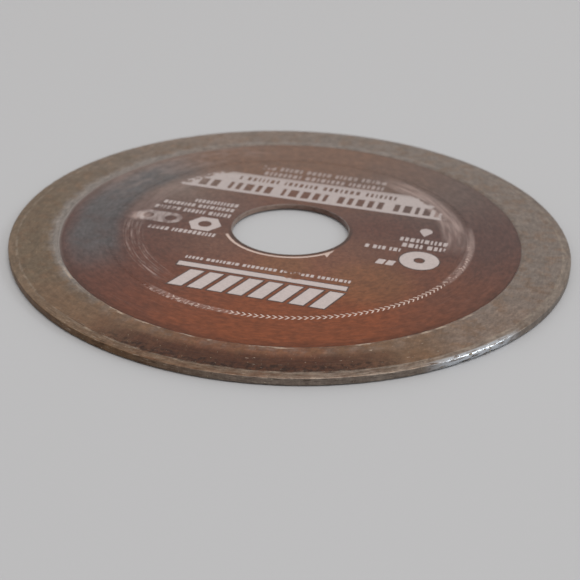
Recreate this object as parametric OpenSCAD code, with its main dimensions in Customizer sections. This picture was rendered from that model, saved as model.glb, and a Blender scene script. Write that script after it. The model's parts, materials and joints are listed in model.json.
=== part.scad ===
// Continuous-rim diamond blade for wet cutting of glass and mosaic.
// Origin: centre of the bore, on the mid-plane of the steel core. +Z leaves the printed face.
// +Y is the top of the printed label. All sizes are in millimetres.

/* [Core] */
// Outside diameter over the diamonds on the cutting edge
blade_d = 105; // [100:0.5:110]
// Bore that the machine's flange pilot fills, 7/8 in
bore_d = 22.225; // [20:0.005:24]
// Thickness of the steel core
core_t = 1.0; // [0.9:0.05:1.1]
// Bevel on both edges of the bore
bore_bevel = 0.05; // [0.05:0.05:0.15]

/* [Rim] */
// Radial depth of the sintered rim as it shows on the faces
rim_depth = 9; // [8:0.5:10]
// Thickness of the rim, which stands proud of the core on both faces
rim_t = 1.5; // [1.4:0.05:1.8]
// Radial width of the worn shoulder at the cutting edge
shoulder_w = 1.6; // [1:0.1:2.2]
// How far each worn shoulder has dropped at the cutting edge
shoulder_drop = 0.08; // [0.05:0.01:0.15]

/* [Keying teeth] */
// Dovetail teeth on the core that the rim is pressed and sintered around
teeth = 60; // [36:6:72]
// Radial width of the plain core between the rim's inner edge and the teeth
tooth_lap = 1; // [0.5:0.1:1.2]
// Radial height of a tooth
tooth_h = 1.5; // [1:0.1:1.8]
// Share of the pitch that a tooth fills at its neck
neck_share = 0.42; // [0.3:0.02:0.46]
// Share of the pitch that a tooth fills at its tip
tip_share = 0.6; // [0.5:0.02:0.66]

/* [Diamonds] */
// Size of a diamond crystal across its cube faces
grit = 0.3; // [0.28:0.02:0.34]
// How far a crystal's centre lies under the surface of the bond
grit_sink = 0.2; // [0.16:0.01:0.2]
// Crystals in one row round the cutting edge
edge_grit_count = 72; // [24:6:96]
// Crystals in one ring on each face of the rim
face_grit_count = 60; // [24:6:72]

/* [Coat and print] */
// Thickness of the copper-coloured lacquer on each face
lacquer_t = 0.03; // [0.02:0.01:0.05]
// Bare steel left between the bore's bevel and the lacquer
lacquer_margin = 0.25; // [0.25:0.05:0.5]
// Thickness of the printed ink
ink_t = 0.02; // [0.01:0.01:0.03]
// Width of the dark line round the title and the size mark
keyline_w = 0.25; // [0.15:0.05:0.35]
// Radius that the label stays within
label_r = 31; // [30:0.5:32]
// Radius of the ring of chevrons, at mid-height
chevron_r = 34.2; // [33.5:0.1:36]
// Chevrons in the full ring
chevrons = 208; // [120:4:220]

/* [Hidden] */

$fn = 180;
seam = 0.01;                              // overlap that makes a cut pass clean through
bore_r = bore_d / 2;
rim_in_r = blade_d / 2 - rim_depth;       // where core and rim meet on the faces
tooth_root_r = rim_in_r + tooth_lap;
tooth_tip_r = tooth_root_r + tooth_h;
tooth_pitch = 360 / teeth;
grit_proud = grit * sqrt(3) / 2 - grit_sink;
rim_r = blade_d / 2 - grit_proud;         // the bond's own radius, inside the diamond tips
edge_t = rim_t - 2 * shoulder_drop;       // height of the flat cutting edge
face_in_r = tooth_tip_r + 0.4;            // the crystals on a face lie clear of the teeth
face_out_r = rim_r - shoulder_w - 0.4;    // and of the worn shoulder
face_rings = 3;
edge_rows = 2;
scatter = 0.3;                            // a crystal's shift from its place, in steps
most_lean = 12;                           // a crystal's lean from upright, in degrees
edge_seed = 31;
face_seed = 3001;
side_seeds = 400;                         // keeps the two faces' crystals from matching
ink_z = core_t / 2 + lacquer_t;

STEEL = [0.60, 0.60, 0.60];
BOND = [0.50, 0.45, 0.38];
DIAMOND = [0.78, 0.78, 0.62];
LACQUER = [0.46, 0.28, 0.20];
INK = [0.80, 0.76, 0.74];
DARK_INK = [0.24, 0.17, 0.15];

// ---- Core and rim -------------------------------------------------------------------------

// One dovetail tooth along +X, narrow at its neck, its foot sunk inside the root circle
module tooth_2d() {
    foot = tooth_root_r - 0.4;
    neck = tooth_root_r * tan(tooth_pitch * neck_share / 2);
    tip = tooth_tip_r * tan(tooth_pitch * tip_share / 2);
    polygon([[foot, -neck], [tooth_root_r, -neck], [tooth_tip_r, -tip],
             [tooth_tip_r, tip], [tooth_root_r, neck], [foot, neck]]);
}

// The core before its bore is cut: a disc with the keying teeth round it
module core_blank() {
    translate([0, 0, -core_t / 2]) linear_extrude(core_t) {
        circle(r = tooth_root_r);
        for (i = [0 : teeth - 1]) rotate(i * tooth_pitch) tooth_2d();
    }
}

module steel_core() {
    top = core_t / 2 + seam;
    mouth_r = bore_r + bore_bevel + seam;
    wall_top = core_t / 2 - bore_bevel;
    color(STEEL) difference() {
        core_blank();
        rotate_extrude() polygon([[0, -top], [mouth_r, -top], [bore_r, -wall_top],
                                  [bore_r, wall_top], [mouth_r, top], [0, top]]);
    }
}

// The rim's solid of revolution, with a worn shoulder on both sides of the flat cutting edge
module rim_ring() {
    face_z = rim_t / 2;
    face_end_r = rim_r - shoulder_w;
    rotate_extrude() polygon([[rim_in_r, -face_z], [face_end_r, -face_z], [rim_r, -edge_t / 2],
                              [rim_r, edge_t / 2], [face_end_r, face_z], [rim_in_r, face_z]]);
}

module sintered_rim() {
    color(BOND) difference() {
        rim_ring();
        core_blank();
        edge_crystals();
        face_crystals(1);
        face_crystals(-1);
    }
}

// ---- Diamonds -----------------------------------------------------------------------------

// A blocky crystal that stands on a corner, turned and leaned a little as its seed says; it
// looks the same again after a third of a turn
module crystal(seed) {
    lean = rands(-most_lean, most_lean, 2, seed);
    spin = rands(0, 120, 1, seed + 0.5)[0];
    rotate([lean[0], lean[1], 0]) rotate([0, 0, spin]) rotate([45, -asin(1 / sqrt(3)), 0])
        cube(grit, center = true);
}

// Rows of crystals seated in the flat cutting edge
module edge_crystals() {
    step = 360 / edge_grit_count;
    for (row = [0 : edge_rows - 1], i = [0 : edge_grit_count - 1]) {
        seed = edge_seed + row * edge_grit_count + i;
        shift = rands(-scatter, scatter, 1, seed)[0];
        z = edge_t * ((row + 0.5) / edge_rows - 0.5);
        rotate((i + 0.5 + shift) * step)
            translate([rim_r - grit_sink, 0, z])
                rotate([0, 90, 0]) crystal(seed);
    }
}

// Rings of crystals seated in one face of the rim; side is 1 for the front, -1 for the rear
module face_crystals(side) {
    step = 360 / face_grit_count;
    ring_gap = (face_out_r - face_in_r) / face_rings;
    for (ring = [0 : face_rings - 1], i = [0 : face_grit_count - 1]) {
        seed = face_seed + side_seeds * side + ring * face_grit_count + i;
        shift = rands(-scatter, scatter, 2, seed);
        r = face_in_r + ring_gap * (ring + 0.5 + shift[0]);
        rotate((i + 0.5 + shift[1]) * step)
            translate([r, 0, side * (rim_t / 2 - grit_sink)]) crystal(seed);
    }
}

module cutting_edge_diamonds() {
    color(DIAMOND) edge_crystals();
}

module front_face_diamonds() {
    color(DIAMOND) face_crystals(1);
}

module rear_face_diamonds() {
    color(DIAMOND) face_crystals(-1);
}

// ---- Lacquer ------------------------------------------------------------------------------

module lacquer_ring() {
    linear_extrude(lacquer_t) difference() {
        circle(r = rim_in_r);
        circle(r = bore_r + bore_bevel + lacquer_margin);
    }
}

module front_lacquer() {
    color(LACQUER) translate([0, 0, core_t / 2]) lacquer_ring();
}

module rear_lacquer() {
    color(LACQUER) translate([0, 0, -core_t / 2 - lacquer_t]) lacquer_ring();
}

// ---- Print, all of it on the front lacquer ----------------------------------------------------

title_x = -16;                            // left edge of the title, its underline and tagline
title_w = 31;
stripes = 8;
stripe_y = 22;                            // foot of the title's stripes
stripe_h = 6.2;
stripe_lean = 2;
stripe_pitch = (title_w - stripe_lean) / stripes;
stripe_w = 0.7 * stripe_pitch;
// Each bar: [lower left corner, width, height, lean]
STRIPES = [for (i = [0 : stripes - 1])
               [[title_x + i * stripe_pitch, stripe_y], stripe_w, stripe_h, stripe_lean]];
UNDERLINE = [[title_x, 19.5], title_w, 1.5, 0];
size_place = [-25.9, 5.5];                // centre of the size mark's disc
size_r = 3.6;
size_hole_r = 1.05;
space = 2.6;                              // gap between two groups of bars, in common gaps
uneven = 0.45;                            // most that a bar's width differs, as a share of it
most_bars = 100;                          // more than any line holds
// Each line of bars: [left, right, bottom, height, middling bar width, gap, bars in a group]
TAGLINE = [[title_x, title_x + title_w, 17.1, 1.0, 0.5, 0.28, 8]];
USE_LINES = [[-21.8, -14.3, 1.7, 1.4, 0.5, 0.3, 3],
             [-29.8, -20.2, -0.9, 1.6, 0.65, 0.35, 4],
             [-29.8, -20.2, -3.3, 1.6, 0.65, 0.35, 20]];
SPEED_LINES = [[12.5, 26.5, 7.1, 1.4, 0.5, 0.3, 11],
               [12.5, 29.2, -2.0, 1.5, 0.55, 0.32, 6],
               [12.7, 27.6, -4.6, 1.4, 0.5, 0.3, 9],
               [12.6, 22.3, -7.0, 1.5, 0.5, 0.3, 20]];
CAPTION_LINES = [[-13, 13.5, -25.3, 1.9, 0.65, 0.4, 8],
                 [-13, 15, -28.3, 1.9, 0.65, 0.4, 5]];
BAND_LINES = [[-26, 26, -17.6, 3.4, 1.25, 0.85, 5],
              [-16.5, 17.2, -21.2, 1.8, 0.6, 0.5, 7]];

// Raises a flat shape to the ink's thickness, on top of the lacquer
module printed() {
    color(INK) translate([0, 0, ink_z]) linear_extrude(ink_t) children();
}

// Rows of upright bars of uneven width that stand for lines of words
module bar_lines(lines) {
    for (line = lines) {
        width = line[4];
        gap = line[5];
        group = line[6];
        widths = rands((1 - uneven) * width, (1 + uneven) * width, most_bars, 7 + abs(line[2]));
        bars = [for (i = 0, x = line[0]; x + widths[i] <= line[1];
                     x = x + widths[i] + gap * ((i + 1) % group == 0 ? space : 1), i = i + 1)
                [x, widths[i]]];
        for (bar = bars) translate([bar[0], line[2]]) square([bar[1], line[3]]);
    }
}

// A bar [lower left corner, width, height, lean] that leans to the right
module leaning_bar(bar) {
    w = bar[1];
    h = bar[2];
    lean = bar[3];
    translate(bar[0]) polygon([[0, 0], [w, 0], [w + lean, h], [lean, h]]);
}

// The same bar grown by an even border on all four sides
module grown_bar(bar, border) {
    slope = bar[3] / bar[2];
    side = border * sqrt(1 + slope * slope);
    corner = bar[0] - [side + border * slope, border];
    leaning_bar([corner, bar[1] + 2 * side, bar[2] + 2 * border, bar[3] + 2 * border * slope]);
}

// One chevron at angle 0, its point towards increasing angle
module chevron_2d() {
    half_h = 0.55;                        // radial
    reach = 0.62;                         // how far its arms trail behind its point
    stroke = 0.34;                        // width of a stroke along the ring
    point = reach / 2;
    polygon([[0, point], [half_h, point - reach], [half_h, point - reach - stroke],
             [0, point - stroke], [-half_h, point - reach - stroke], [-half_h, point - reach]]);
}

module print_chevron_ring() {
    printed() for (i = [0 : chevrons - 1])
        rotate(i * 360 / chevrons) translate([chevron_r, 0]) chevron_2d();
}

// A point at radius r and angle a
function polar(r, a) = r * [cos(a), sin(a)];

// Anticlockwise arrow round the top of the bore, its end cut slantwise to a point, with a barb
// on its outer side only
module print_rotation_arrow() {
    arc_in = bore_r + 1.0;
    arc_out = arc_in + 0.5;
    tail_a = 31;
    tip_a = 148;                          // at the arc's inner edge
    slant_a = 143;                        // where the slanted cut leaves its outer edge
    barb_a = 136;
    barb_r = arc_out + 1.1;
    wedge_r = 2 * arc_out;                // reaches past the arc at every angle between
    cut = polar(arc_out, slant_a) - polar(arc_in, tip_a);
    printed() {
        intersection() {
            difference() {
                circle(r = arc_out);
                circle(r = arc_in);
            }
            polygon([[0, 0], polar(wedge_r, tail_a), polar(wedge_r, (tail_a + barb_a) / 2),
                     polar(arc_in, tip_a) + 4 * cut, polar(arc_in, tip_a) - cut]);
        }
        polygon([polar(arc_out - 0.2, barb_a), polar(barb_r, barb_a - 1), polar(arc_out - 0.2, slant_a)]);
    }
}

// Plain leaning stripes that fill the title's place
module print_title_stripes() {
    printed() for (bar = STRIPES) leaning_bar(bar);
}

module print_title_underline() {
    printed() leaning_bar(UNDERLINE);
}

module print_tagline_bars() {
    printed() bar_lines(TAGLINE);
}

// A disc with a hole that stands for the blade's size, with two leaning ticks beside it
module print_size_symbol() {
    printed() {
        translate(size_place) difference() {
            circle(r = size_r);
            circle(r = size_hole_r);
        }
        for (x = [-22, -20.2]) leaning_bar([[x, 7.1], 1.4, 1.9, 0.4]);
    }
}

module print_use_lines() {
    printed() bar_lines(USE_LINES);
}

// A drop that stands for wet cutting; its point is tangent to its round belly
module print_water_drop() {
    belly_r = 1.2;
    side = belly_r * [cos(30), sin(30)];
    printed() translate([-25, -7]) {
        circle(r = belly_r);
        polygon([[-side[0], side[1]], side, [0, 2 * belly_r]]);
    }
}

module print_speed_lines() {
    printed() bar_lines(SPEED_LINES);
}

// A six-sided badge with one round window, and an oval badge with two
module print_badges() {
    oval_r = 2.3;
    oval_w = 4.6;                         // distance between the centres of its round ends
    printed() {
        translate([16, 3.6]) difference() {
            circle(r = 3.3, $fn = 6);
            circle(r = 1.3);
        }
        translate([25.5, 3.2]) difference() {
            union() {
                for (x = [-oval_w, oval_w]) translate([x / 2, 0]) circle(r = oval_r);
                square([oval_w, 2 * oval_r], center = true);
            }
            for (x = [-oval_w, oval_w]) translate([x / 2, 0]) circle(r = oval_r / 2);
        }
    }
}

// A broad band across the label, trimmed to its radius, with two rows of bars knocked out
module print_material_band() {
    top = -13;
    bottom = -22.8;
    printed() difference() {
        intersection() {
            circle(r = label_r);
            translate([-label_r, bottom]) square([2 * label_r, top - bottom]);
        }
        bar_lines(BAND_LINES);
    }
}

module print_caption_lines() {
    printed() bar_lines(CAPTION_LINES);
}

// A thin ring of dark ink between two radii
module dark_ring(inner, outer) {
    difference() {
        circle(r = outer);
        circle(r = inner);
    }
}

// Thin dark lines round the title's bars and round both edges of the size mark's disc
module print_keylines() {
    color(DARK_INK) translate([0, 0, ink_z]) linear_extrude(ink_t / 2) {
        for (bar = concat(STRIPES, [UNDERLINE])) difference() {
            grown_bar(bar, keyline_w);
            leaning_bar(bar);
        }
        translate(size_place) {
            dark_ring(size_r, size_r + keyline_w);
            dark_ring(size_hole_r - keyline_w, size_hole_r);
        }
    }
}

steel_core();
sintered_rim();
cutting_edge_diamonds();
front_face_diamonds();
rear_face_diamonds();
front_lacquer();
rear_lacquer();
print_chevron_ring();
print_rotation_arrow();
print_title_stripes();
print_title_underline();
print_tagline_bars();
print_size_symbol();
print_use_lines();
print_water_drop();
print_speed_lines();
print_badges();
print_material_band();
print_caption_lines();
print_keylines();
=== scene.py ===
"""Looks of a used continuous-rim diamond blade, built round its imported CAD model.

The frame is the CAD model's: origin at the centre of the bore, +Z out of the printed face and +Y towards the
top of the printed label. Lengths are in millimetres, apart from those of the floor and the lights. Angles
are in degrees, anticlockwise seen from +Z. Those of wear are counted from the viewer's right, not from +X.
"""
import json
import math
import random

import bmesh
import bpy
from mathutils import Euler, Matrix, Vector, noise


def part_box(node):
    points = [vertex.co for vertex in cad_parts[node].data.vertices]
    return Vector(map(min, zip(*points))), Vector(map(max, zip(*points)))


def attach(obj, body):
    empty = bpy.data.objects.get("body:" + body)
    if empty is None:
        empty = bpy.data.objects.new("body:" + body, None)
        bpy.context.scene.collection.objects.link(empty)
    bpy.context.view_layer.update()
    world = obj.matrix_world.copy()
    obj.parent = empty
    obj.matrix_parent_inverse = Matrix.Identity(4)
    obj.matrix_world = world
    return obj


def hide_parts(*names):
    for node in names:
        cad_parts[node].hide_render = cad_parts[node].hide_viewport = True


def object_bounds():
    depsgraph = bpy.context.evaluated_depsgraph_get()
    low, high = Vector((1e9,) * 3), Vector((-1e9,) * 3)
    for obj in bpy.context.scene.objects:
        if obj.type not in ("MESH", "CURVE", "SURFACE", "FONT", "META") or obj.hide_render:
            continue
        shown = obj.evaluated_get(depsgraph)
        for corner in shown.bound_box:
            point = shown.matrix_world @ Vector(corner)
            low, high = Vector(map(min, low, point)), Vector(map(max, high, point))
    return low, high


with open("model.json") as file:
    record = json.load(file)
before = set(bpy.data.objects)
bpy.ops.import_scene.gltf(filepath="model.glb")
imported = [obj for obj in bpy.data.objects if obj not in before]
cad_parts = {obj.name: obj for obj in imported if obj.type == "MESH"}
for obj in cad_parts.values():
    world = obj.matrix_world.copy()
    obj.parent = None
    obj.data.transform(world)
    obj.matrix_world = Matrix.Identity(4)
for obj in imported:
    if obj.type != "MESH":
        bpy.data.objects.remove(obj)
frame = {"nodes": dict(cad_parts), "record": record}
cad_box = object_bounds()

MM = 0.001


# ---- Sizes, read from the frame or chosen -----------------------------------------------------

def reach(node):
    """A round node's outer radius and the height of its top, in millimetres."""
    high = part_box(node)[1]
    return high.x / MM, high.z / MM


RIM_R, RIM_TOP = reach("sintered_rim")
TOOTH_R, CORE_TOP = reach("steel_core")
COAT_R, COAT_TOP = reach("front_lacquer")
BORE_R = next(m for m in frame["record"]["mounts"] if m["name"] == "arbor_bore")["dims"]["r_mm"]
TABLE_Z = cad_box[0].z / MM
SHOULDER_W = 1.6
SHOULDER_R = RIM_R - SHOULDER_W
SHOULDER_DROP = 0.08
FACE_WEAR = 0.014                         # how far the rim's faces and its edge have worn in, on average
EDGE_WEAR = 0.02
COAT_GAP = 0.14                           # between the bore and the lacquer, on average
SLOT_GAP = 0.05                           # between the core's teeth and the new rim
FACE_MARGIN = 0.5                         # how far the faces' grit stays from the lacquer
EDGE_MARGIN = 0.2                         # and the cutting edge's from its two corners
FACE_GRIT = (0.1, 0.22)                   # smallest and largest crystal
EDGE_GRIT = (0.12, 0.24)

# Stretches of the blade: the middle, counted from the viewer's right, half the width, and the soft end
FRESH_EDGE = (305, 3, 9)                  # where the cutting edge is freshly chipped
WIDE_LIP = (90, 70, 40)                   # where the rim slopes down to the lacquer over a wider strip
BARE_STRETCH = (155, 30, 16)              # where the lacquer has worn back from the rim


# ---- Directions as the viewer sees them -------------------------------------------------------

VIEWER_ANGLE = 105.5                      # where the viewer stands, round the blade


def seen(right, away, up):
    """A direction or a place given from the viewer's side, in the blade's frame."""
    turn = Matrix.Rotation(math.radians(VIEWER_ANGLE + 90), 3, "Z")
    return turn @ Vector((right, away, up))


def seen_angle(degrees):
    """The blade's own angle for one counted from the viewer's right."""
    return degrees + VIEWER_ANGLE + 90


# ---- Colours ----------------------------------------------------------------------------------

def srgb(red, green, blue):
    """A linear colour from display values of 0 to 255."""
    def linear(value):
        value /= 255
        return value / 12.92 if value <= 0.04045 else ((value + 0.055) / 1.055) ** 2.4
    return linear(red), linear(green), linear(blue)


# ---- Building node materials ------------------------------------------------------------------

class Graph:
    """Adds nodes to a tree with short calls. Values may be numbers, colours or other nodes' sockets."""

    def __init__(self, tree):
        self.tree = tree

    def feed(self, socket, value):
        if isinstance(value, bpy.types.NodeSocket):
            self.tree.links.new(value, socket)
        elif isinstance(value, tuple) and socket.type == "RGBA":
            socket.default_value = (*value, 1)
        else:
            socket.default_value = value

    def add(self, kind, inputs=None, **settings):
        node = self.tree.nodes.new(kind)
        for name, value in settings.items():
            setattr(node, name, value)
        for name, value in (inputs or {}).items():
            self.feed(node.inputs[name], value)
        return node

    def math(self, operation, a, b=0.0):
        return self.add("ShaderNodeMath", {0: a, 1: b}, operation=operation).outputs[0]

    def product(self, *values):
        total = values[0]
        for value in values[1:]:
            total = self.math("MULTIPLY", total, value)
        return total

    def either(self, *masks):
        total = masks[0]
        for mask in masks[1:]:
            total = self.math("MAXIMUM", total, mask)
        return total

    def step(self, value, low, high, start=0.0, end=1.0):
        """Goes smoothly from start to end as value goes from low to high; low may be above high."""
        node = self.add("ShaderNodeMapRange", {0: value, 1: low, 2: high, 3: start, 4: end},
                        interpolation_type="SMOOTHSTEP")
        return node.outputs[0]

    def mix(self, factor, a, b):
        node = self.add("ShaderNodeMix", {0: factor, 6: a, 7: b}, data_type="RGBA")
        return node.outputs[2]

    def tone(self, colour, amount):
        """The colour made lighter or darker by a factor."""
        return self.add("ShaderNodeMix", {0: 1.0, 6: colour, 7: self.grey(amount)},
                        data_type="RGBA", blend_type="MULTIPLY", clamp_result=False).outputs[2]

    def vary(self, colour, *patterns):
        """The colour toned by patterns in turn, each given as what step takes."""
        for pattern in patterns:
            colour = self.tone(colour, self.step(*pattern))
        return colour

    def grey(self, value):
        return self.add("ShaderNodeCombineColor", {0: value, 1: value, 2: value}).outputs[0]

    def vector(self, x, y, z):
        return self.add("ShaderNodeCombineXYZ", {0: x, 1: y, 2: z}).outputs[0]

    def noise(self, vector, scale, detail=3.0, roughness=0.55):
        node = self.add("ShaderNodeTexNoise", {"Vector": vector, "Scale": scale, "Detail": detail,
                                               "Roughness": roughness})
        return node.outputs[0]

    def cells(self, vector, scale):
        node = self.add("ShaderNodeTexVoronoi", {"Vector": vector, "Scale": scale})
        return node.outputs["Distance"]

    def centred(self, value):
        """A noise of 0 to 1 moved to lie about 0."""
        return self.math("SUBTRACT", value, 0.5)

    def bump(self, height, distance_mm, strength):
        node = self.add("ShaderNodeBump", {"Height": height, "Distance": distance_mm * MM,
                                           "Strength": strength})
        return node.outputs[0]


class Place:
    """Where a shaded point is on the blade: x, y, z and radius r in millimetres, and masks made of them."""

    def __init__(self, graph):
        self.graph = graph
        here = graph.add("ShaderNodeTexCoord").outputs["Object"]
        self.point = graph.add("ShaderNodeVectorMath", {0: here, 1: (1 / MM,) * 3},
                               operation="MULTIPLY").outputs[0]
        split = graph.add("ShaderNodeSeparateXYZ", {0: self.point})
        self.x, self.y, self.z = split.outputs
        self.r = graph.math("SQRT", graph.math("ADD", graph.product(self.x, self.x),
                                               graph.product(self.y, self.y)))
        self.cos = graph.math("DIVIDE", self.x, self.r)
        self.sin = graph.math("DIVIDE", self.y, self.r)

    def round_noise(self, along, third, detail, roughness=0.55):
        """Noise without a seam round the blade. along is its rate round a turn, third its last coordinate."""
        g = self.graph
        vector = g.vector(g.product(self.cos, along), g.product(self.sin, along), third)
        return g.noise(vector, 1.0, detail, roughness)

    def streaks(self, along, across, detail=3.0):
        """Noise drawn out round the blade: across is its rate per millimetre of radius."""
        return self.round_noise(along, self.graph.product(self.r, across), detail)

    def sector(self, centre, half_width, soft):
        """1 within half_width degrees of centre, counted from the viewer's right, and 0 soft degrees on."""
        g = self.graph
        angle = math.radians(seen_angle(centre))
        closeness = g.math("ADD", g.product(self.cos, math.cos(angle)), g.product(self.sin, math.sin(angle)))
        return g.step(closeness, math.cos(math.radians(min(half_width + soft, 180))),
                      math.cos(math.radians(half_width)))

    def band(self, inner, outer, soft, wobble=None):
        """1 between two radii, and 0 soft millimetres outside them; wobble moves it in or out."""
        g = self.graph
        r = self.r if wobble is None else g.math("ADD", self.r, wobble)
        return g.product(g.step(r, inner - soft, inner), g.step(r, outer + soft, outer))

    def wheel(self, stops, wobble):
        """A colour that changes round the blade. A stop is (degrees from the viewer's right, colour)."""
        g = self.graph
        start = math.radians(seen_angle(0))
        east = g.math("ADD", g.product(self.cos, math.cos(start)), g.product(self.sin, math.sin(start)))
        north = g.math("SUBTRACT", g.product(self.sin, math.cos(start)),
                       g.product(self.cos, math.sin(start)))
        turn = g.math("DIVIDE", g.math("ARCTAN2", north, east), 2 * math.pi)
        ramp = g.add("ShaderNodeValToRGB", {0: g.math("FRACT", g.math("ADD", turn, wobble))})
        marks = ramp.color_ramp.elements
        marks[1].position = 1.0
        for degrees, colour in stops[1:]:
            marks.new(degrees / 360).color = (*colour, 1)
        marks[0].color = marks[-1].color = (*stops[0][1], 1)
        return ramp.outputs[0]

    def arc(self, centre, half_width, soft, inner, outer, blur, wobble=None):
        """1 on a stretch of ring, given as what sector takes and then what band takes."""
        return self.graph.product(self.sector(centre, half_width, soft),
                                  self.band(inner, outer, blur, wobble))

    def spot(self, x, y, radius, soft):
        """1 within radius of a place on the face, and 0 soft millimetres on."""
        g = self.graph
        gap = g.add("ShaderNodeVectorMath", {0: g.vector(self.x, self.y, 0.0), 1: (x, y, 0.0)},
                    operation="DISTANCE").outputs["Value"]
        return g.step(gap, radius + soft, radius)


def new_material(name):
    """An empty node material, and the graph to fill it with."""
    material = bpy.data.materials.new(name)
    material.use_nodes = True
    tree = material.node_tree
    tree.nodes.clear()
    return material, Graph(tree)


def finish_material(graph, **inputs):
    """Ends a material with one Principled surface; input names are Principled's, with _ for a space."""
    named = {name.replace("_", " "): value for name, value in inputs.items()}
    surface = graph.add("ShaderNodeBsdfPrincipled", named)
    graph.add("ShaderNodeOutputMaterial", {"Surface": surface.outputs[0]})


# ---- Lacquer ----------------------------------------------------------------------------------

COPPER = srgb(134, 73, 43)
RUST = srgb(115, 70, 52)
MAROON = srgb(108, 64, 49)
PLUM = srgb(90, 62, 56)
TAUPE = srgb(101, 82, 75)
TAN = srgb(119, 86, 66)
SMOKE = srgb(120, 101, 92)
# Round the blade the coat's own colour carries a painted sheen: coppery and brightest towards the viewer
LACQUER_ROUND = ((0, PLUM), (30, TAUPE), (75, TAN), (110, TAN), (140, SMOKE), (175, PLUM), (222, MAROON),
                 (252, COPPER), (288, COPPER), (318, RUST), (348, PLUM))
SLATE = srgb(89, 88, 90)                  # a patch on the viewer's left: worn lacquer with a painted bluish reflection
GOLD = srgb(136, 94, 60)                  # a paler patch between the title and the bore
MIDDLE_FAR = srgb(104, 62, 48)            # near the bore, on the side away from the viewer
MIDDLE_NEAR = srgb(124, 88, 72)           # near the bore, on the viewer's side
SMEAR = srgb(178, 157, 150)               # ink dragged over the lacquer
RUBBED = srgb(147, 140, 135)              # bond and steel polished where the coat has worn off
# Dark dirt in pits and marks, also laid on as painted shade along the lacquer's edges
GRIME_AND_SHADE = srgb(52, 40, 34)

# Wear of the lacquer, with the slate patch's painted reflection, as what Place.arc takes
SLATE_PATCH = (166, 24, 24, 34.5, 39.5, 3.6)
HAZE = (128, 20, 16, 36.5, 41.5, 2.5)
FADED_EDGE = (152, 34, 25, COAT_R - 0.25, COAT_R, 0.7)
SMEARS = (                                # with a pattern and a strength
    ((18, 16, 22, 29.8, 32.6, 1.5), "soft", 0.62),
    ((146, 20, 18, 28.6, 31.0, 1.4), "soft", 0.24),
    ((200, 18, 12, 28.4, 31.2, 0.8), "lines", 0.6),
    ((236, 10, 5, 34.5, 34.9, 0.25), "flecks", 0.8),
    ((241, 11, 6, 33.8, 34.6, 0.35), "trail", 0.5),
    ((343, 14, 10, 33.6, 34.7, 0.45), "soft", 0.5),
)


def smears(g, at):
    """How much dragged ink lies on the lacquer, beyond the ends of the print."""
    patchy = g.step(at.streaks(12.0, 1.4, 4.0), 0.36, 0.62, 0.15, 1.0)
    flecks = g.step(at.streaks(90.0, 0.8, 2.0), 0.46, 0.62)
    patterns = {
        "soft": g.step(at.streaks(4.5, 1.3, 4.0), 0.3, 0.7, 0.3, 1.0),
        "lines": g.product(g.step(at.streaks(3.0, 3.4, 3.0), 0.42, 0.68), patchy),
        "flecks": flecks,
        "trail": g.step(flecks, 0.0, 1.0, 0.45, 1.0),
    }
    marks = [g.product(at.arc(*arc), patterns[pattern], strength) for arc, pattern, strength in SMEARS]
    beside_badge = g.product(at.spot(29.2, 3.9, 0.6, 2.4), g.step(patchy, 0.15, 1.0, 0.5, 1.0), 0.85)
    return g.either(*marks, beside_badge)


def lacquer_mottle(g, at):
    """Soft blotches, a few millimetres across."""
    return g.noise(at.point, 0.32, 4.0, 0.6)


def flange_ring(g, at):
    """The faint ring that a clamping flange has left on the rear face."""
    mottle = lacquer_mottle(g, at)
    return g.product(at.band(15.0, 16.6, 1.2), g.step(mottle, 0.3, 0.7, 0.1, 1.0), 0.3)


def lacquer_tint(g, at, drift):
    """The coat's colour round the blade, with its slate and golden patches. drift is a slow noise."""
    mottle = lacquer_mottle(g, at)
    colour = at.wheel(LACQUER_ROUND, g.product(drift, 0.1))
    # The slate patch is worn lacquer with a painted bluish reflection
    slate = g.product(at.arc(*SLATE_PATCH, g.product(drift, 5.0)), g.step(mottle, 0.2, 0.6, 0.55, 0.9))
    colour = g.mix(slate, colour, SLATE)
    middle = g.mix(at.sector(262, 50, 60), MIDDLE_FAR, MIDDLE_NEAR)
    colour = g.mix(g.step(at.r, 30.0, 15.0, 0.0, 0.6), colour, middle)
    golden = g.either(at.spot(-19.0, 17.0, 4.0, 7.0), at.spot(-3.0, 15.5, 2.5, 5.0))
    colour = g.mix(g.product(golden, 0.45), colour, GOLD)
    near_edge = g.product(at.sector(262, 50, 45), g.step(at.r, 40.8, COAT_R))
    return g.vary(colour, (near_edge, 0.0, 1.0, 1.0, 0.72), (mottle, 0.25, 0.75, 0.92, 1.08))


def lacquer_wear(g, at, colour, drift):
    """The colour with hairlines, a faded outer edge, and painted shade along both edges on the near side."""
    hairline = g.step(at.streaks(5.0, 22.0, 1.0), 0.68, 0.76)
    colour = g.mix(g.product(hairline, 0.22), colour, SMEAR)
    faded = at.arc(*FADED_EDGE, g.product(drift, 1.2))
    colour = g.mix(g.product(faded, 0.5), colour, RUBBED)
    # Painted shade: a dark band next to the bore, on the viewer's side
    shade_at_bore = g.product(g.step(at.r, BORE_R + 1.0, BORE_R + 0.5), at.sector(275, 70, 35))
    colour = g.mix(g.product(shade_at_bore, 0.75), colour, GRIME_AND_SHADE)
    # Painted shade: a dark line on the coat next to the rim's step, on the viewer's side
    shade_at_rim = g.product(g.step(at.r, COAT_R - 0.5, COAT_R - 0.1), at.sector(290, 60, 30),
                       g.step(at.streaks(40.0, 2.0), 0.4, 0.7))
    return g.mix(g.product(shade_at_rim, 0.7), colour, GRIME_AND_SHADE)


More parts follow.
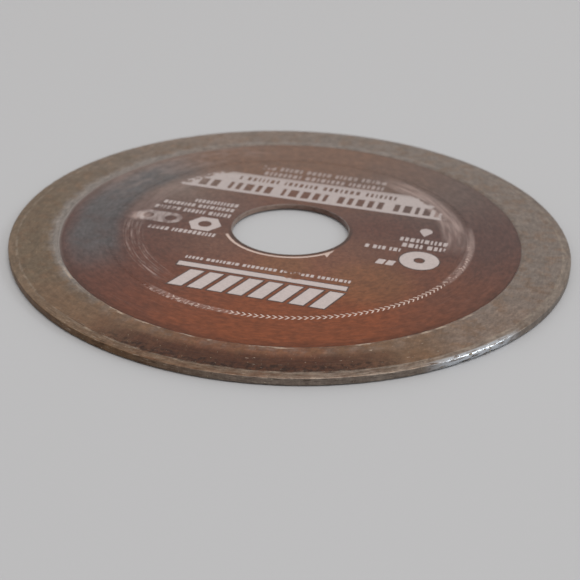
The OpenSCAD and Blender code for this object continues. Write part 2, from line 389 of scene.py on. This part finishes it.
def lacquer_layers(g, at, printed):
    """Colour, metal share, roughness and height of the used copper lacquer. printed is the front face."""
    drift = g.centred(at.streaks(2.4, 0.1, 3.0))
    brush = at.streaks(16.0, 4.5, 4.0)
    grain = at.streaks(26.0, 1.5, 3.0)
    fine = at.streaks(75.0, 13.0, 2.0)
    colour = g.vary(lacquer_tint(g, at, drift),
                    (g.noise(at.point, 1.0, 3.0, 0.6), 0.3, 0.7, 0.93, 1.07),
                    (brush, 0.25, 0.75, 0.88, 1.12),
                    (grain, 0.28, 0.72, 0.8, 1.17),
                    (fine, 0.25, 0.75, 0.93, 1.07))
    haze = g.product(at.arc(*HAZE), g.step(at.streaks(9.0, 0.6, 4.0), 0.45, 0.62), 0.22)
    colour = g.mix(haze, colour, SMEAR)
    smear = smears(g, at) if printed else flange_ring(g, at)
    colour = lacquer_wear(g, at, g.mix(smear, colour, SMEAR), drift)
    metal = g.step(smear, 0.0, 0.7, 0.97, 0.3)
    rough = g.math("ADD", g.step(smear, 0.0, 0.6, 0.36, 0.5), g.product(g.centred(brush), 0.2))
    return colour, metal, rough, g.math("ADD", brush, g.product(fine, 0.6))


def lacquer_material(name, printed):
    material, g = new_material(name)
    colour, metal, rough, height = lacquer_layers(g, Place(g), printed)
    finish_material(g, Base_Color=colour, Metallic=metal, Roughness=rough, Coat_Weight=0.06,
                    Coat_Roughness=0.2, Normal=g.bump(height, 0.015, 0.5))
    return material


# ---- Ink --------------------------------------------------------------------------------------

INK = srgb(174, 162, 159)
ARROW_INK = srgb(186, 164, 153)
CHEVRON_INK = srgb(188, 167, 157)
DARK_INK = srgb(60, 40, 33)


def ink_material(name, colour, wear_of):
    """Worn ink: wear_of(graph, place) gives 1 where the lacquer shows through."""
    material, g = new_material(name)
    at = Place(g)
    under, metal, rough, height = lacquer_layers(g, at, True)
    wear = wear_of(g, at)
    grain = g.noise(at.point, 2.6, 4.0)
    ink = g.tone(colour, g.step(grain, 0.25, 0.75, 0.9, 1.06))
    ink = g.tone(ink, g.step(at.y, -20.0, 20.0, 0.88, 1.06))
    finish_material(g, Base_Color=g.mix(wear, ink, under), Metallic=g.product(metal, wear),
                    Roughness=g.mix(wear, g.grey(0.45), rough), Coat_Weight=g.product(wear, 0.06),
                    Coat_Roughness=0.2, Normal=g.bump(height, 0.015, 0.4))
    return material


def label_wear(g, at):
    """Flaked at the label's outer edge and in the tagline, smudged at the oval, and thin below the band."""
    patchy = g.noise(at.point, 0.6, 5.0, 0.7)
    oval = at.spot(25.5, 3.2, 4.6, 0.6)
    tagline = at.spot(-6.0, 17.6, 1.4, 2.0)
    edge = g.product(g.step(at.r, 28.0, 31.0), g.step(at.y, 18.0, 12.0))
    rubbed = g.product(g.either(edge, tagline), g.math("SUBTRACT", 1.0, oval))
    smudged = g.product(oval, g.step(at.streaks(7.0, 1.2, 4.0), 0.35, 0.65, 0.25, 0.75))
    limit = g.step(rubbed, 0.0, 1.0, 0.74, 0.42)
    flaked = g.step(g.math("SUBTRACT", patchy, limit), -0.03, 0.07)
    thin = g.product(g.step(at.y, -24.0, -25.0), g.step(patchy, 0.3, 0.7, 0.1, 0.55))
    band_edge = g.product(g.step(at.y, -21.0, -22.8), 0.25)
    return g.either(flaked, thin, band_edge, smudged)


def chevron_wear(g, at):
    """Crisp before the viewer, smeared to both sides of that, and rubbed away round the far side."""
    patchy = at.streaks(20.0, 1.5, 5.0)
    crisp = at.sector(287, 30, 6)
    smeared = at.sector(293, 57, 8)
    limit = g.math("ADD", g.step(crisp, 0.0, 1.0, 0.0, 0.38), g.step(smeared, 0.0, 1.0, 0.16, 0.42))
    return g.step(g.math("SUBTRACT", patchy, limit), -0.05, 0.1)


def never_worn(g, at):
    """The wear of ink that is whole."""
    return 0.0


# ---- Steel ------------------------------------------------------------------------------------

BARE_STEEL = srgb(148, 145, 142)
WALL_RUST = srgb(88, 58, 46)              # the bore's wall: rust, and a pale painted highlight
WALL_HIGHLIGHT = srgb(142, 120, 108)


def steel_material():
    material, g = new_material("brushed_core_steel")
    at = Place(g)
    brush = at.streaks(7.0, 9.0, 4.0)
    colour = g.tone(BARE_STEEL, g.step(brush, 0.2, 0.8, 0.8, 1.15))
    wall = g.step(at.r, BORE_R + 0.06, BORE_R + 0.01)
    uneven = at.round_noise(9.0, g.product(at.z, 1.6), 5.0)
    # Rusty round most of the wall; on the viewer's left it is painted pale as a highlight where light falls
    wall_colour = g.mix(at.sector(165, 20, 90), WALL_RUST, WALL_HIGHLIGHT)
    colour = g.mix(g.product(wall, g.step(uneven, 0.3, 0.6, 0.8, 0.97)), colour, wall_colour)
    colour = g.mix(g.product(wall, g.step(uneven, 0.56, 0.66), 0.6), colour, GRIME_AND_SHADE)
    rubbed = g.product(g.step(at.r, COAT_R - 2.0, COAT_R - 1.2), g.step(uneven, 0.2, 0.8, 0.8, 1.0))
    colour = g.mix(rubbed, colour, RUBBED)
    finish_material(g, Base_Color=colour, Metallic=g.step(wall, 0.0, 1.0, 0.9, 0.35),
                    Roughness=g.step(brush, 0.2, 0.8, 0.34, 0.5),
                    Normal=g.bump(g.math("ADD", brush, uneven), 0.02, 0.5))
    return material


# ---- Rim --------------------------------------------------------------------------------------

BOND_GREY = srgb(130, 119, 111)
BOND_PALE = srgb(136, 120, 109)
BOND_OLIVE = srgb(116, 100, 82)
BOND_DUN = srgb(121, 107, 94)
BOND_TAN = srgb(127, 100, 78)
BOND_BROWN = srgb(127, 82, 57)
BOND_ROUND = ((0, BOND_GREY), (80, BOND_GREY), (108, BOND_PALE), (138, BOND_DUN), (168, BOND_OLIVE),
              (205, BOND_OLIVE), (232, BOND_TAN), (252, BOND_BROWN), (272, BOND_BROWN), (290, BOND_TAN),
              (316, BOND_PALE), (340, BOND_GREY))
BOND_STAIN = srgb(74, 45, 34)
BOND_DARK = srgb(50, 35, 28)
# Two colours of the worn shoulder; the pale one carries a painted sheen
BOND_WORN_SHEEN = srgb(148, 136, 125)
BOND_RUBBED = srgb(131, 111, 92)
BRIGHT_BOND = srgb(198, 180, 162)
BRINK_HIGHLIGHT = srgb(150, 137, 122)               # the line where the shoulder starts: worn bond with a painted highlight
GLINT = srgb(180, 168, 152)
EDGE_BROWN = srgb(103, 77, 54)
EDGE_GREY = srgb(126, 116, 108)
FRESH_METAL = srgb(205, 210, 216)

# Wear and stains of the rim, with painted glints and highlights, as what Place.arc takes
HEAT_STAIN = (261, 14, 21, 47.6, 50.4, 2.6)
SCORCH = (262, 20, 12, 49.2, 50.7, 0.5)
PITTED_EDGE = (262, 26, 26, SHOULDER_R - 0.3, RIM_R + 1, 0.5)
BRIGHT_EDGE = (255, 22, 20, SHOULDER_R - 0.3, RIM_R + 1, 0.5)
BARE_LIP = (168, 36, 26, COAT_R - 1, COAT_R + 0.75, 0.45)
PALE_LIP = (130, 62, 40, COAT_R - 1, COAT_R + 0.9, 1.2)
# The lip's nicks, with a painted highlight along its crest
NICKED_LIT_LIP = (260, 48, 15, COAT_R + 0.28, COAT_R + 0.62, 0.14)
SCORED_FACE = (288, 26, 10, 45.6, 49.6, 0.8)


def bond_tint(g, at, drift, blotch):
    """The bond's colour round the rim, browner in blotches and greyer next to the lacquer."""
    colour = at.wheel(BOND_ROUND, g.product(drift, 0.12))
    browner = g.product(g.step(blotch, 0.46, 0.66), 0.5)
    colour = g.mix(browner, colour, BOND_TAN)
    greyer = g.product(g.step(at.r, COAT_R + 4.0, COAT_R + 0.8), g.step(blotch, 0.6, 0.35), 0.5)
    return g.mix(greyer, colour, BOND_GREY)


def bond_burns(g, at, colour, drift, turning):
    """The colour with the heat stain before the viewer and the scorch within it."""
    stain = at.arc(*HEAT_STAIN, g.product(drift, 3.0))
    colour = g.mix(g.product(stain, g.step(turning, 0.25, 0.65, 0.5, 0.95)), colour, BOND_STAIN)
    scorch = g.product(at.arc(*SCORCH), g.step(g.noise(at.point, 1.1, 5.0, 0.7), 0.43, 0.6))
    return g.mix(g.product(scorch, 0.8), colour, BOND_DARK)


def bond_shoulder(g, at, colour, turning):
    """The colour with the shoulder polished by use, its brink, and the cutting edge. The shoulder's
    lightness and its brink are partly a painted sheen, and its far side has painted shade.
    """
    # Wear of the shoulder with a painted sheen: lighter towards the viewer, and palest on the viewer's right
    polished = g.product(g.step(at.r, SHOULDER_R - 0.15, SHOULDER_R + 0.2),
                         g.step(turning, 0.3, 0.65, 0.35, 0.85),
                         g.step(at.sector(275, 40, 90), 0.0, 1.0, 0.1, 1.0))
    worn = g.mix(at.sector(320, 25, 45), BOND_RUBBED, BOND_WORN_SHEEN)
    colour = g.mix(polished, colour, worn)
    # Painted shade: the shoulder darker on the far side and towards the viewer's right
    far_shoulder_shade = g.product(at.sector(30, 76, 24), g.step(at.r, SHOULDER_R - 0.2, RIM_R - 0.4))
    colour = g.tone(colour, g.step(far_shoulder_shade, 0.0, 1.0, 1.0, 0.85))
    # A light line along the shoulder's brink: wear with a painted highlight
    brink = g.product(at.band(SHOULDER_R - 0.05, SHOULDER_R + 0.2, 0.15), g.step(turning, 0.35, 0.6), 0.45)
    colour = g.mix(brink, colour, BRINK_HIGHLIGHT)
    edge_colour = g.mix(at.sector(300, 28, 36), EDGE_BROWN, EDGE_GREY)
    return g.mix(g.product(g.step(at.r, RIM_R - 0.12, RIM_R - 0.03), 0.8), colour, edge_colour)


def bond_marks(g, at, colour, blotch, layers):
    """The colour with pits and glints along the edge, wear along the lacquer, and score marks between."""
    pitted = g.product(at.arc(*PITTED_EDGE), g.step(layers, 0.54, 0.66), 0.6)
    colour = g.mix(pitted, colour, BOND_DARK)
    glints = g.product(at.arc(*BRIGHT_EDGE), g.step(layers, 0.4, 0.32), 0.5)
    colour = g.mix(glints, colour, GLINT)
    patchy = g.centred(blotch)
    bare = g.product(at.arc(*BARE_LIP, g.product(patchy, 1.2)), 0.85)
    paler = g.product(at.arc(*PALE_LIP, g.product(patchy, 1.6)), 0.5)
    colour = g.mix(g.either(bare, paler), colour, RUBBED)
    # Painted highlight: a broken light line along the crest of the lip, with real nicks in it
    nicks_and_highlight = g.product(at.arc(*NICKED_LIT_LIP), g.step(at.streaks(16.0, 1.0, 3.0), 0.5, 0.64))
    colour = g.mix(g.product(nicks_and_highlight, 0.7), colour, BRIGHT_BOND)
    scored = g.product(at.arc(*SCORED_FACE), g.step(at.streaks(44.0, 2.2, 2.0), 0.7, 0.76))
    return g.mix(g.product(scored, 0.7), colour, BRIGHT_BOND)


def rim_material():
    material, g = new_material("sintered_bronze_bond")
    at = Place(g)
    blotch = g.noise(at.point, 0.42, 5.0, 0.68)
    speckle = g.noise(at.point, 3.2, 3.0, 0.65)
    mottle = g.noise(at.point, 0.75, 4.0, 0.65)
    turning = at.streaks(22.0, 2.0, 4.0)
    scratch = g.noise(g.vector(g.product(at.x, 2.8), g.product(at.y, 0.7), at.z), 1.0, 4.0, 0.6)
    layers = at.round_noise(28.0, g.math("ADD", g.product(at.z, 5.0), g.product(at.r, -5.0)), 3.0, 0.6)
    drift = g.centred(g.noise(at.point, 0.11, 3.0))
    colour = bond_tint(g, at, drift, blotch)
    colour = bond_burns(g, at, colour, drift, turning)
    colour = bond_shoulder(g, at, colour, turning)
    colour = bond_marks(g, at, colour, blotch, layers)
    colour = g.vary(colour, (speckle, 0.25, 0.75, 0.9, 1.1), (mottle, 0.3, 0.7, 0.84, 1.15),
                    (turning, 0.25, 0.75, 0.84, 1.12), (scratch, 0.25, 0.75, 0.88, 1.1))
    pits = g.step(g.cells(at.point, 1.5), 0.16, 0.05)
    colour = g.mix(g.product(pits, 0.4), colour, GRIME_AND_SHADE)
    fresh = g.product(at.sector(*FRESH_EDGE), g.step(at.r, RIM_R - 0.9, RIM_R - 0.4),
                      g.step(layers, 0.62, 0.54))
    colour = g.mix(fresh, colour, FRESH_METAL)
    rough = g.mix(fresh, g.grey(g.step(speckle, 0.2, 0.8, 0.42, 0.54)), g.grey(0.24))
    height = g.math("ADD", g.math("ADD", speckle, g.product(turning, 0.7)),
                    g.math("ADD", g.product(scratch, 0.6), g.product(pits, -0.8)))
    finish_material(g, Base_Color=colour, Metallic=g.step(fresh, 0.0, 1.0, 0.85, 0.95), Roughness=rough,
                    Normal=g.bump(height, 0.04, 0.6))
    return material


# ---- Diamonds ---------------------------------------------------------------------------------

CRYSTAL_DARK = srgb(100, 86, 68)
CRYSTAL_PALE = srgb(146, 134, 110)


def diamond_material():
    material, g = new_material("diamond_crystal")
    at = Place(g)
    shade = g.noise(at.point, 1.3, 1.0)
    colour = g.mix(g.step(shade, 0.35, 0.65), CRYSTAL_DARK, CRYSTAL_PALE)
    finish_material(g, Base_Color=colour, Metallic=0.25, Roughness=0.34, IOR=1.7,
                    Normal=g.bump(g.noise(at.point, 12.0), 0.02, 0.3))
    return material


# ---- Meshes -----------------------------------------------------------------------------------

def piece(name, vertices, faces, material, smooth=True):
    """An object from vertices in millimetres, riding on the blade."""
    mesh = bpy.data.meshes.new(name)
    mesh.from_pydata([[c * MM for c in v] for v in vertices], [], faces)
    mesh.materials.append(material)
    mesh.polygons.foreach_set("use_smooth", [smooth] * len(mesh.polygons))
    mesh.update()
    if smooth:
        mesh.set_sharp_from_angle(angle=math.radians(45))
    made = bpy.data.objects.new(name, mesh)
    bpy.context.scene.collection.objects.link(made)
    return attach(made, "root")


def ring_faces(turns, count):
    """Quads of a closed section of count points carried round turns steps. They face inward where the
    section runs clockwise, seen with r to the right and z upward."""
    faces = []
    for i in range(turns):
        here, ahead = i * count, (i + 1) % turns * count
        for j in range(count):
            k = (j + 1) % count
            faces.append((here + j, ahead + j, ahead + k, here + k))
    return faces


def around(angle, r, scale):
    """A point for seamless noise round the blade, at a feature size of about scale millimetres."""
    return r * math.cos(angle) / scale, r * math.sin(angle) / scale


def clamp(value, low, high):
    return max(low, min(high, value))


def spread(start, end, count):
    """count values evenly from start up to, but not including, end."""
    return [start + (end - start) * i / count for i in range(count)]


def rim_section(corner, lip):
    """The rim's section as (r, z, part) points, clockwise, part naming the surface that they are on.
    corner is the radius of the cutting edge's worn corners, and lip the width of the slope down to the
    lacquer."""
    edge_z = RIM_TOP - SHOULDER_DROP
    slot_r = TOOTH_R + SLOT_GAP
    front = [(COAT_R, CORE_TOP, "slot"), (COAT_R, COAT_TOP, "lip")]
    for share in (0.25, 0.5, 0.75):
        rise = math.sin(share * math.pi / 2)
        front.append((COAT_R + lip * share, COAT_TOP + (RIM_TOP - COAT_TOP) * rise, "lip"))
    front += [(r, RIM_TOP, "face") for r in spread(COAT_R + lip, SHOULDER_R, 24)]
    for r in spread(SHOULDER_R, RIM_R - corner, 9):
        share = (r - SHOULDER_R) / SHOULDER_W
        front.append((r, RIM_TOP - SHOULDER_DROP * share ** 1.5, "shoulder"))
    for turn in (90, 60, 30):
        a = math.radians(turn)
        r = RIM_R - corner + corner * math.cos(a)
        front.append((r, edge_z - corner + corner * math.sin(a), "corner"))
    edge = [(RIM_R, z, "edge") for z in spread(edge_z - corner, -(edge_z - corner), 8)]
    rear = [(r, -z, part) for r, z, part in reversed(front)]
    coarse = [p for i, p in enumerate(rear) if p[2] != "face" or i % 3 == 0]
    slot = [(slot_r, -CORE_TOP, "slot"), (slot_r, CORE_TOP, "slot")]
    return front + edge + coarse + slot


def nearness(angle, centre, half_width, soft):
    """What Place.sector gives, but falling in a straight line, for one angle of a mesh, in radians."""
    off = abs((math.degrees(angle) - seen_angle(centre) + 180) % 360 - 180)
    return clamp((half_width + soft - off) / soft, 0, 1)


def worn_point(r, z, part, angle, wave, chipped):
    """A point of the rim's section moved by wear. wave is a slow noise, and chipped scales the chips."""
    side = 1 if z > 0 else -1
    if part == "face":
        groove = noise.noise((*around(angle, 12.0, 4.0), r / 0.5))
        grain = noise.noise((*around(angle, r, 0.9), side))
        z -= side * (FACE_WEAR + 0.012 * groove + 0.008 * grain)
    elif part == "lip":
        nick = clamp(noise.noise((*around(angle, r, 1.1), side * 7.0)) - 0.1, 0, 1)
        r -= 0.12 * nick * clamp((abs(z) - COAT_TOP) / 0.05, 0, 1)
    elif part in ("shoulder", "corner"):
        rub = noise.noise((*around(angle, 20.0, 5.0), r / 0.3 + side * 9))
        z -= side * (0.02 + 0.02 * rub + 0.015 * wave)
    if part == "corner":
        chip = clamp(noise.noise((*around(angle, r, 1.3), z / 0.4)), 0, 1)
        r -= 0.22 * chip * chipped
        z -= side * 0.16 * chip * chipped
    if part == "edge":
        r -= EDGE_WEAR + 0.02 * noise.noise((*around(angle, r, 0.6), z / 0.25)) + 0.015 * wave
    return r * math.cos(angle), r * math.sin(angle), z


def worn_rim():
    """The rim with its turning marks, worn shoulder, chipped corner and uneven edge."""
    turns = 1260
    vertices = []
    for i in range(turns):
        angle = 2 * math.pi * i / turns
        fresh = nearness(angle, *FRESH_EDGE)
        uneven = noise.noise((*around(angle, COAT_R, 2.5), 2.0))
        wave = noise.noise((*around(angle, RIM_R, 9.0), 0.0))
        corner = 0.14 + 0.32 * fresh
        lip = 0.3 + 0.12 * uneven + 0.6 * nearness(angle, *WIDE_LIP)
        chipped = 0.25 + 0.3 * fresh
        section = rim_section(corner, lip)
        vertices += [worn_point(*point, angle, wave, chipped) for point in section]
    rim = piece("rim_bond_worn", vertices, ring_faces(turns, len(section)), rim_material())
    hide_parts("sintered_rim")


def bare_width(angle, printed):
    """How far the lacquer has worn back from the rim at an angle, in millimetres."""
    layer = 3.0 if printed else 8.0
    coarse = noise.noise((*around(angle, COAT_R, 3.1), layer))
    fine = noise.noise((*around(angle, COAT_R, 0.7), layer))
    ragged = coarse + 0.5 * fine
    slow = noise.noise((*around(angle, COAT_R, 14.0), 5.0 if printed else 1.0))
    rubbed = nearness(angle, *BARE_STRETCH)
    return clamp(0.03 + 0.05 * ragged + 0.05 * slow + 0.3 * rubbed * (0.9 + 0.35 * ragged), 0.02, 1.0)


def coat(name, printed, node):
    """A lacquer film whose outer edge has worn back raggedly from the rim."""
    turns, rows = 1440, 20
    side = 1 if printed else -1
    low, high = CORE_TOP, COAT_TOP
    vertices = []
    for i in range(turns):
        angle = 2 * math.pi * i / turns
        start = BORE_R + COAT_GAP + 0.06 * noise.noise((*around(angle, BORE_R, 1.2), side))
        end = COAT_R - bare_width(angle, printed)
        radii = [start + (end - start) * j / (rows - 1) for j in range(rows)]
        section = [(r, high) for r in radii] + [(end, low), (start, low)]
        vertices += [(r * math.cos(angle), r * math.sin(angle), side * z) for r, z in section]
    faces = ring_faces(turns, rows + 2)
    if printed:
        faces = [tuple(reversed(f)) for f in faces]
    film = piece(name, vertices, faces, lacquer_material(name + "_look", printed))
    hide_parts(node)


def crystal_shapes():
    """The two usual diamond crystals at about unit size, as vertices and faces: a cube and an octahedron."""
    cube = bmesh.new()
    bmesh.ops.create_cube(cube, size=0.8)
    corners = [v.co.copy() for v in cube.verts]
    squares = [[v.index for v in f.verts] for f in cube.faces]
    cube.free()
    axes = ((1, 0, 0), (0, 1, 0), (-1, 0, 0), (0, -1, 0), (0, 0, 1), (0, 0, -1))
    tips = [Vector(axis) * 0.55 for axis in axes]
    triangles = [(i, (i + 1) % 4, 4) for i in range(4)] + [((i + 1) % 4, i, 5) for i in range(4)]
    return (corners, squares), (tips, triangles)


def grit(name, count, seed, place, sizes, material):
    """Many small crystals in one mesh; place(rng, depth) gives a centre at that depth in the bond."""
    rng = random.Random(seed)
    shapes = crystal_shapes()
    vertices, faces = [], []
    for _ in range(count):
        points, sides = rng.choice(shapes)
        turn = Euler([rng.uniform(0, math.pi) for _ in range(3)]).to_matrix()
        size = rng.uniform(*sizes)
        centre = Vector(place(rng, rng.uniform(0.46, 0.6) * size))
        base = len(vertices)
        vertices += [centre + turn @ (p * size) for p in points]
        faces += [[base + k for k in f] for f in sides]
    crystals = piece(name, vertices, faces, material, smooth=False)


def on_face(side):
    """Places for crystals in one face of the rim, side being 1 for the front and -1 for the rear."""
    def place(rng, depth):
        r = math.sqrt(rng.uniform((COAT_R + FACE_MARGIN) ** 2, SHOULDER_R ** 2))
        a = rng.uniform(0, 2 * math.pi)
        return r * math.cos(a), r * math.sin(a), side * (RIM_TOP - FACE_WEAR - depth)
    return place


def on_edge(rng, depth):
    """A place for a crystal in the cutting edge."""
    r = RIM_R - EDGE_WEAR - depth
    a = rng.uniform(0, 2 * math.pi)
    half = RIM_TOP - SHOULDER_DROP - EDGE_MARGIN
    return r * math.cos(a), r * math.sin(a), rng.uniform(-half, half)


# ---- The blade --------------------------------------------------------------------------------

worn_rim()
coat("front_lacquer_coat", True, "front_lacquer")
coat("rear_lacquer_coat", False, "rear_lacquer")
diamonds = diamond_material()
grit("grit_in_front_face", 4800, seed=1, place=on_face(1), sizes=FACE_GRIT, material=diamonds)
grit("grit_in_rear_face", 2800, seed=2, place=on_face(-1), sizes=FACE_GRIT, material=diamonds)
grit("grit_in_cutting_edge", 1500, seed=3, place=on_edge, sizes=EDGE_GRIT, material=diamonds)


def dress(node, material):
    """Gives a CAD node its material."""
    mesh = frame["nodes"][node].data
    mesh.materials.clear()
    mesh.materials.append(material)


dress("steel_core", steel_material())
for node in ("cutting_edge_diamonds", "front_face_diamonds", "rear_face_diamonds"):
    dress(node, diamonds)
label_ink = ink_material("worn_label_ink", INK, label_wear)
for node in frame["nodes"]:
    if node.startswith("print_"):
        dress(node, label_ink)
dress("print_rotation_arrow", ink_material("warm_arrow_ink", ARROW_INK, never_worn))
dress("print_chevron_ring", ink_material("worn_chevron_ink", CHEVRON_INK, chevron_wear))
dress("print_keylines", ink_material("dark_keyline_ink", DARK_INK, label_wear))


# ---- Floor, light and camera ------------------------------------------------------------------

TABLE_GREY = srgb(175, 176, 178)
ROOM_WHITE = srgb(255, 251, 248)
DAYLIGHT = (0.88, 0.95, 1.0)
LAMPLIGHT = (1.0, 0.99, 0.98)


def table_material():
    """Pale and matt. It turns clear when the camera is below it, so that the rear face is seen and lit."""
    material, g = new_material("pale_table")
    surface = g.add("ShaderNodeBsdfPrincipled", {"Base Color": TABLE_GREY, "Roughness": 0.6})
    clear = g.add("ShaderNodeBsdfTransparent")
    view = g.add("ShaderNodeCameraData").outputs["View Vector"]
    sight = g.add("ShaderNodeVectorTransform", {0: view}, vector_type="VECTOR", convert_from="CAMERA",
                  convert_to="WORLD").outputs[0]
    upward = g.math("GREATER_THAN", g.add("ShaderNodeSeparateXYZ", {0: sight}).outputs[2], 0.0)
    both = g.add("ShaderNodeMixShader", {0: upward, 1: surface.outputs[0], 2: clear.outputs[0]})
    g.add("ShaderNodeOutputMaterial", {"Surface": both.outputs[0]})
    return material


def floor():
    """A table under the blade, in metres."""
    half = 3.0
    z = TABLE_Z * MM
    corners = [(-half, -half, z), (half, -half, z), (half, half, z), (-half, half, z)]
    mesh = bpy.data.meshes.new("table_top")
    mesh.from_pydata(corners, [], [(0, 1, 2, 3)])
    mesh.materials.append(table_material())
    made = bpy.data.objects.new("table_top", mesh)
    bpy.context.scene.collection.objects.link(made)


def soft_light(name, toward, distance, size, power, tint):
    """A square light, toward being its direction as the viewer sees it. Its lengths are in metres."""
    data = bpy.data.lights.new(name, "AREA")
    data.size = size
    data.energy = power
    data.color = tint
    light = bpy.data.objects.new(name, data)
    direction = seen(*toward).normalized()
    light.location = direction * distance
    light.rotation_euler = direction.to_track_quat("Z", "Y").to_euler()
    bpy.context.scene.collection.objects.link(light)


def room():
    """Even room light, a little brighter low down behind the blade."""
    world = bpy.data.worlds.new("soft_room")
    world.use_nodes = True
    world.node_tree.nodes.clear()
    g = Graph(world.node_tree)
    ray = g.add("ShaderNodeTexCoord").outputs["Generated"]
    away = g.add("ShaderNodeVectorMath", {0: ray, 1: tuple(seen(0, 1, 0))}, operation="DOT_PRODUCT")
    glow = g.step(away.outputs["Value"], 0.55, 1.0, 0.62, 0.85)
    background = g.add("ShaderNodeBackground", {"Color": ROOM_WHITE, "Strength": glow})
    g.add("ShaderNodeOutputWorld", {"Surface": background.outputs[0]})
    bpy.context.scene.world = world


VIEWER_RISE = 25.718                      # the viewer's height, as an angle at the blade
VIEWER_DISTANCE = 212.1                   # from the point on the table under the blade's centre
GAZE_SWING = -0.077                       # how far the gaze turns aside from the blade's centre
GAZE_PITCH = -28.589
GAZE_ROLL = 1.639
FOCAL_LENGTH = 68.7
SENSOR_W = 36.0
F_STOP = 45.0
FOCUS_LEAD = 36.0                         # how much nearer than the blade's centre the focus lies


def viewpoint():
    """Where the viewer is and how the view is turned, as a matrix in metres."""
    heading = math.radians(VIEWER_ANGLE + 180 + GAZE_SWING)
    pitch = math.radians(GAZE_PITCH)
    roll = math.radians(GAZE_ROLL)
    reach_out = math.cos(pitch)
    forward = Vector((reach_out * math.cos(heading), reach_out * math.sin(heading), math.sin(pitch)))
    level = Vector((math.sin(heading), -math.cos(heading), 0.0))
    upright = level.cross(forward)
    right = math.cos(roll) * level + math.sin(roll) * upright
    up = right.cross(forward)
    turn = Matrix((right, up, -forward)).transposed()
    rise = math.radians(VIEWER_RISE)
    place = seen(0, -VIEWER_DISTANCE * math.cos(rise), VIEWER_DISTANCE * math.sin(rise))
    place += Vector((0, 0, TABLE_Z))
    return Matrix.Translation(place * MM) @ turn.to_4x4()


def hold_focus(made):
    """Drives the focus by the distance to the blade, so that the camera is also sharp from elsewhere."""
    focus = made.data.dof.driver_add("focus_distance")
    focus.driver.type = "AVERAGE"
    gap = focus.driver.variables.new()
    gap.type = "LOC_DIFF"
    gap.targets[0].id = made
    gap.targets[1].id = frame["nodes"]["steel_core"]
    lead = focus.modifiers[0] if focus.modifiers else focus.modifiers.new("GENERATOR")
    lead.coefficients = (-FOCUS_LEAD * MM, 1.0)


def camera():
    """Low over the near edge, focused on the near half of the blade."""
    data = bpy.data.cameras.new("viewer")
    data.lens = FOCAL_LENGTH
    data.sensor_width = SENSOR_W
    data.clip_start = 0.01
    data.dof.use_dof = True
    data.dof.focus_distance = (VIEWER_DISTANCE - FOCUS_LEAD) * MM
    data.dof.aperture_fstop = F_STOP
    made = bpy.data.objects.new("viewer", data)
    made.matrix_world = viewpoint()
    bpy.context.scene.collection.objects.link(made)
    bpy.context.scene.camera = made
    hold_focus(made)


floor()
room()
soft_light("side_window", toward=(1.0, -0.16, 0.66), distance=2.5, size=0.7, power=9.0, tint=DAYLIGHT)
soft_light("ceiling_light", toward=(0.15, -0.25, 1.0), distance=2.0, size=1.2, power=20.0,
           tint=LAMPLIGHT)
camera()
bpy.context.scene.view_settings.view_transform = "Standard"
